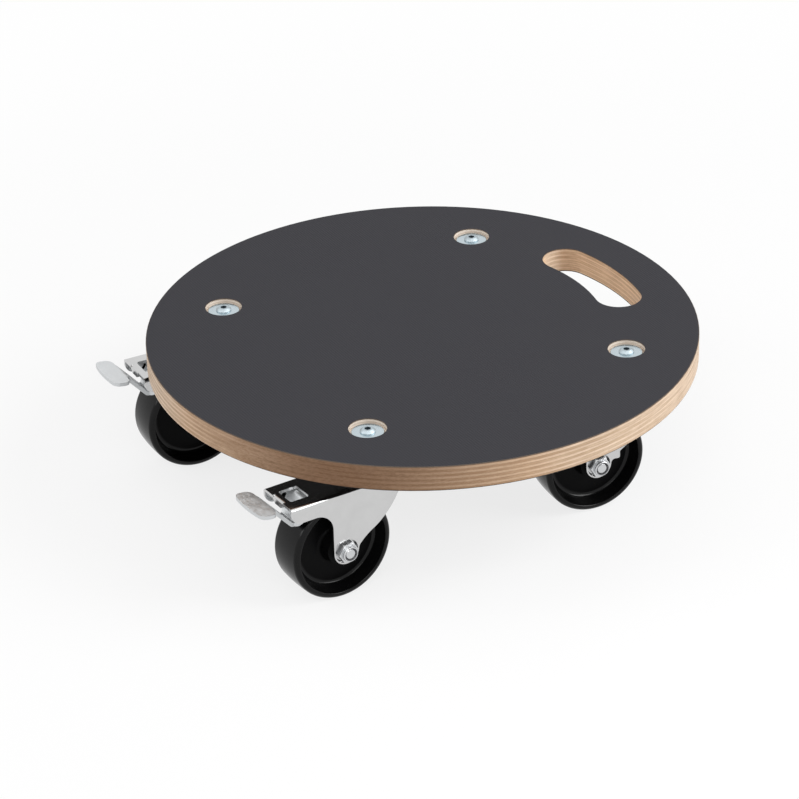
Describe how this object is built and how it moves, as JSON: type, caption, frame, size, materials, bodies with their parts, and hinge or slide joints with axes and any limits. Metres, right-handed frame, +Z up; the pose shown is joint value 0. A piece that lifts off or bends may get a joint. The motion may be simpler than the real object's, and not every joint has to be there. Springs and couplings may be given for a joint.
{
  "type": "platform dolly",
  "caption": "Round plywood platform dolly with a hand-hold slot on swivel castors, the rear ones with pedal brakes, for rolling plants, furniture or crates.",
  "frame": {"origin": "on the floor under the middle of the round deck", "axes": "+Z up out of the deck's top face, +X from the deck's middle to the hand-hold slot, +Y to the left"},
  "size_m": [0.385, 0.38, 0.112],
  "materials": {
    "birch_plywood": "sanded edge",
    "top_film": "phenolic film with a fine mesh print",
    "underside_film": "smooth phenolic film",
    "zinc_sheet": "bright zinc plated",
    "zinc_fastener": "blue zinc plated",
    "bearing_steel": "polished",
    "wheel_plastic": "moulded polypropylene, satin gloss",
    "nut_nylon": "moulded nylon",
    "pedal_metal": "satin zinc plated"
  },
  "bodies": {
    "deck": {"deck_panel": "birch_plywood", "top_facing": "top_film", "underside_facing": "underside_film", "deck_bolts": "zinc_fastener", "deck_washers": "zinc_fastener", "deck_lock_nuts": "zinc_fastener", "deck_nut_inserts": "nut_nylon", "upper_bearing_balls": "bearing_steel", "lower_bearing_balls": "bearing_steel", "front_left_head_plate": "zinc_sheet", "front_left_kingpin": "zinc_sheet", "front_left_lower_cup": "zinc_sheet", "front_right_head_plate": "zinc_sheet", "front_right_kingpin": "zinc_sheet", "front_right_lower_cup": "zinc_sheet", "rear_left_head_plate": "zinc_sheet", "rear_left_kingpin": "zinc_sheet", "rear_left_lower_cup": "zinc_sheet", "rear_right_head_plate": "zinc_sheet", "rear_right_kingpin": "zinc_sheet", "rear_right_lower_cup": "zinc_sheet"},
    "front_left_swivel": {"front_left_fork": "zinc_sheet", "front_left_axle_sleeve": "bearing_steel", "front_left_axle_bolt": "zinc_fastener", "front_left_axle_nut": "zinc_fastener", "front_left_axle_nut_insert": "nut_nylon"},
    "front_left_wheel": {"front_left_wheel": "wheel_plastic"},
    "front_right_swivel": {"front_right_fork": "zinc_sheet", "front_right_axle_sleeve": "bearing_steel", "front_right_axle_bolt": "zinc_fastener", "front_right_axle_nut": "zinc_fastener", "front_right_axle_nut_insert": "nut_nylon"},
    "front_right_wheel": {"front_right_wheel": "wheel_plastic"},
    "rear_left_swivel": {"rear_left_fork": "zinc_sheet", "rear_left_axle_sleeve": "bearing_steel", "rear_left_axle_bolt": "zinc_fastener", "rear_left_axle_nut": "zinc_fastener", "rear_left_axle_nut_insert": "nut_nylon", "rear_left_brake_pin": "zinc_fastener"},
    "rear_left_wheel": {"rear_left_wheel": "wheel_plastic"},
    "rear_left_brake": {"rear_left_brake_pedal": "pedal_metal"},
    "rear_right_swivel": {"rear_right_fork": "zinc_sheet", "rear_right_axle_sleeve": "bearing_steel", "rear_right_axle_bolt": "zinc_fastener", "rear_right_axle_nut": "zinc_fastener", "rear_right_axle_nut_insert": "nut_nylon", "rear_right_brake_pin": "zinc_fastener"},
    "rear_right_wheel": {"rear_right_wheel": "wheel_plastic"},
    "rear_right_brake": {"rear_right_brake_pedal": "pedal_metal"}
  },
  "joints": [
    {"name": "front_left_swivel", "type": "hinge", "parent": "deck", "child": "front_left_swivel", "pos_m": [0.10112, 0.10112, 0.082], "axis": [0, 0, 1], "continuous": true},
    {"name": "front_left_roll", "type": "hinge", "parent": "front_left_swivel", "child": "front_left_wheel", "pos_m": [0.07119, 0.10321, 0.0375], "axis": [-0.0698, -0.9976, 0], "continuous": true},
    {"name": "front_right_swivel", "type": "hinge", "parent": "deck", "child": "front_right_swivel", "pos_m": [0.10112, -0.10112, 0.082], "axis": [0, 0, 1], "continuous": true},
    {"name": "front_right_roll", "type": "hinge", "parent": "front_right_swivel", "child": "front_right_wheel", "pos_m": [0.07125, -0.09824, 0.0375], "axis": [-0.0958, -0.9954, 0], "continuous": true},
    {"name": "rear_left_swivel", "type": "hinge", "parent": "deck", "child": "rear_left_swivel", "pos_m": [-0.10112, 0.10112, 0.082], "axis": [0, 0, 1], "continuous": true},
    {"name": "rear_left_roll", "type": "hinge", "parent": "rear_left_swivel", "child": "rear_left_wheel", "pos_m": [-0.13109, 0.10243, 0.0375], "axis": [-0.0436, -0.999, 0], "continuous": true},
    {"name": "rear_left_brake", "type": "hinge", "parent": "rear_left_swivel", "child": "rear_left_brake", "pos_m": [-0.15207, 0.10334, 0.0755], "axis": [-0.0436, -0.999, 0], "range_deg": [0, 10.9]},
    {"name": "rear_right_swivel", "type": "hinge", "parent": "deck", "child": "rear_right_swivel", "pos_m": [-0.10112, -0.10112, 0.082], "axis": [0, 0, 1], "continuous": true},
    {"name": "rear_right_roll", "type": "hinge", "parent": "rear_right_swivel", "child": "rear_right_wheel", "pos_m": [-0.13108, -0.10253, 0.0375], "axis": [0.0471, -0.9989, 0], "continuous": true},
    {"name": "rear_right_brake", "type": "hinge", "parent": "rear_right_swivel", "child": "rear_right_brake", "pos_m": [-0.15206, -0.10352, 0.0755], "axis": [0.0471, -0.9989, 0], "range_deg": [0, 10.9]}
  ]
}
